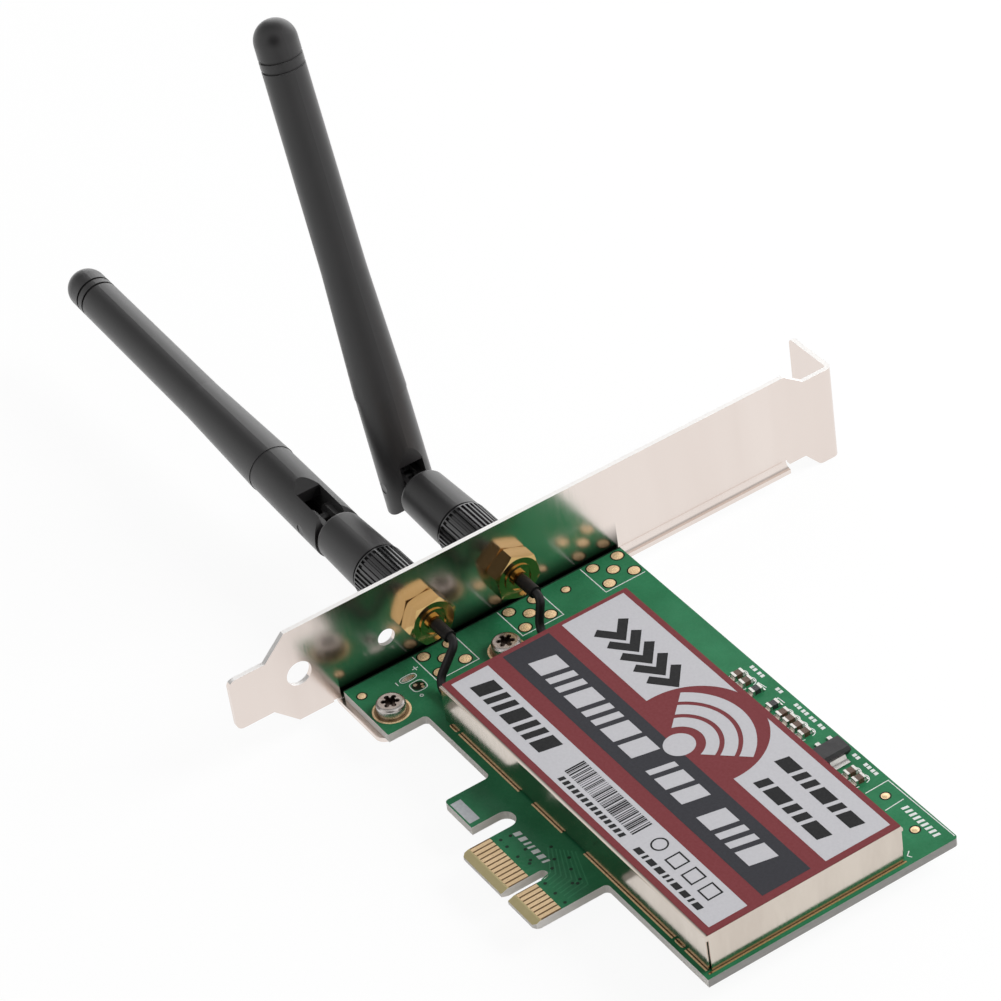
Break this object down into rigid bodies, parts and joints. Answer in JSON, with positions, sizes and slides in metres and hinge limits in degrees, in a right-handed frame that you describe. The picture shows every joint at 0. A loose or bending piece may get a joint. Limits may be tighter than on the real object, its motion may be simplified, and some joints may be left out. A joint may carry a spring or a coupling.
{
  "type": "wireless network card",
  "caption": "Expansion card with a tall metal slot bracket, a labelled shield can over its radio module, and black rod antennas that swivel and tilt on coaxial jacks.",
  "frame": {"origin": "key notch on the leading edge of the contact tongue, at half the board's thickness", "axes": "+X from the slot bracket to the board's far end, +Y from the contact tongue to the board's upper edge, +Z out of the component side"},
  "size_m": [0.2086, 0.12, 0.0946],
  "materials": {
    "board_green": "green solder mask over glass laminate",
    "contact_gold": "gold plating",
    "bracket_nickel": "bright nickel-plated folded sheet steel",
    "screw_steel": "zinc-plated steel",
    "can_tin": "bright tin-plated sheet",
    "label_print": "printed film label",
    "module_green": "green solder mask",
    "socket_black": "moulded",
    "chip_black": "moulded epoxy",
    "chip_brown": "ceramic with tinned ends",
    "lead_tin": "tinned",
    "jack_gold": "gold-plated brass",
    "insulator_white": "turned",
    "cable_black": "extruded jacket",
    "nut_black": "black plated brass",
    "antenna_black": "moulded, satin"
  },
  "bodies": {
    "card": {"circuit_board": "board_green", "edge_contacts_front": "contact_gold", "edge_contacts_back": "contact_gold", "plated_pads": "contact_gold", "bracket": "bracket_nickel", "bracket_screws": "screw_steel", "shield_can": "can_tin", "can_label": "label_print", "module_board": "module_green", "module_socket": "socket_black", "module_posts": "contact_gold", "module_screws": "screw_steel", "radio_chip": "chip_black", "module_crystal": "lead_tin", "chip_capacitors": "chip_brown", "chip_resistors": "chip_black", "regulator_body": "chip_black", "regulator_leads": "lead_tin", "jack_body_1": "jack_gold", "jack_insulator_1": "insulator_white", "jack_pin_1": "jack_gold", "lock_washer_1": "jack_gold", "jack_nut_1": "jack_gold", "crimp_ferrule_1": "jack_gold", "heat_shrink_1": "cable_black", "pigtail_cable_1": "cable_black", "micro_plug_1": "jack_gold", "plug_body_1": "jack_gold", "plug_insulator_1": "insulator_white", "plug_contact_1": "jack_gold", "jack_body_2": "jack_gold", "jack_insulator_2": "insulator_white", "jack_pin_2": "jack_gold", "lock_washer_2": "jack_gold", "jack_nut_2": "jack_gold", "crimp_ferrule_2": "jack_gold", "heat_shrink_2": "cable_black", "pigtail_cable_2": "cable_black", "micro_plug_2": "jack_gold", "plug_body_2": "jack_gold", "plug_insulator_2": "insulator_white", "plug_contact_2": "jack_gold"},
    "coupling_1": {"coupling_nut_1": "nut_black"},
    "base_1": {"knuckle_1": "antenna_black"},
    "blade_1": {"hinge_pin_1": "antenna_black", "blade_fork_1": "antenna_black", "blade_tube_1": "antenna_black", "antenna_coax_1": "cable_black", "radiator_sleeve_1": "jack_gold", "radiator_wire_1": "jack_gold"},
    "coupling_2": {"coupling_nut_2": "nut_black"},
    "base_2": {"knuckle_2": "antenna_black"},
    "blade_2": {"hinge_pin_2": "antenna_black", "blade_fork_2": "antenna_black", "blade_tube_2": "antenna_black", "antenna_coax_2": "cable_black", "radiator_sleeve_2": "jack_gold", "radiator_wire_2": "jack_gold"}
  },
  "joints": [
    {"name": "nut_turn_1", "type": "hinge", "parent": "card", "child": "coupling_1", "pos_m": [-0.06606, 0.02265, 0.0078], "axis": [1, 0, 0], "continuous": true},
    {"name": "antenna_swivel_1", "type": "hinge", "parent": "card", "child": "base_1", "pos_m": [-0.0764, 0.02265, 0.0078], "axis": [1, 0, 0], "range_deg": [-50, 230]},
    {"name": "antenna_tilt_1", "type": "hinge", "parent": "base_1", "child": "blade_1", "pos_m": [-0.08886, 0.02265, 0.0078], "axis": [0, 1, 0], "range_deg": [-2.5, 87.5]},
    {"name": "nut_turn_2", "type": "hinge", "parent": "card", "child": "coupling_2", "pos_m": [-0.06606, 0.0393, 0.0078], "axis": [1, 0, 0], "continuous": true},
    {"name": "antenna_swivel_2", "type": "hinge", "parent": "card", "child": "base_2", "pos_m": [-0.0764, 0.0393, 0.0078], "axis": [1, 0, 0], "range_deg": [-230, 50]},
    {"name": "antenna_tilt_2", "type": "hinge", "parent": "base_2", "child": "blade_2", "pos_m": [-0.08886, 0.0393, 0.0078], "axis": [0, 1, 0], "range_deg": [-76, 14]}
  ]
}
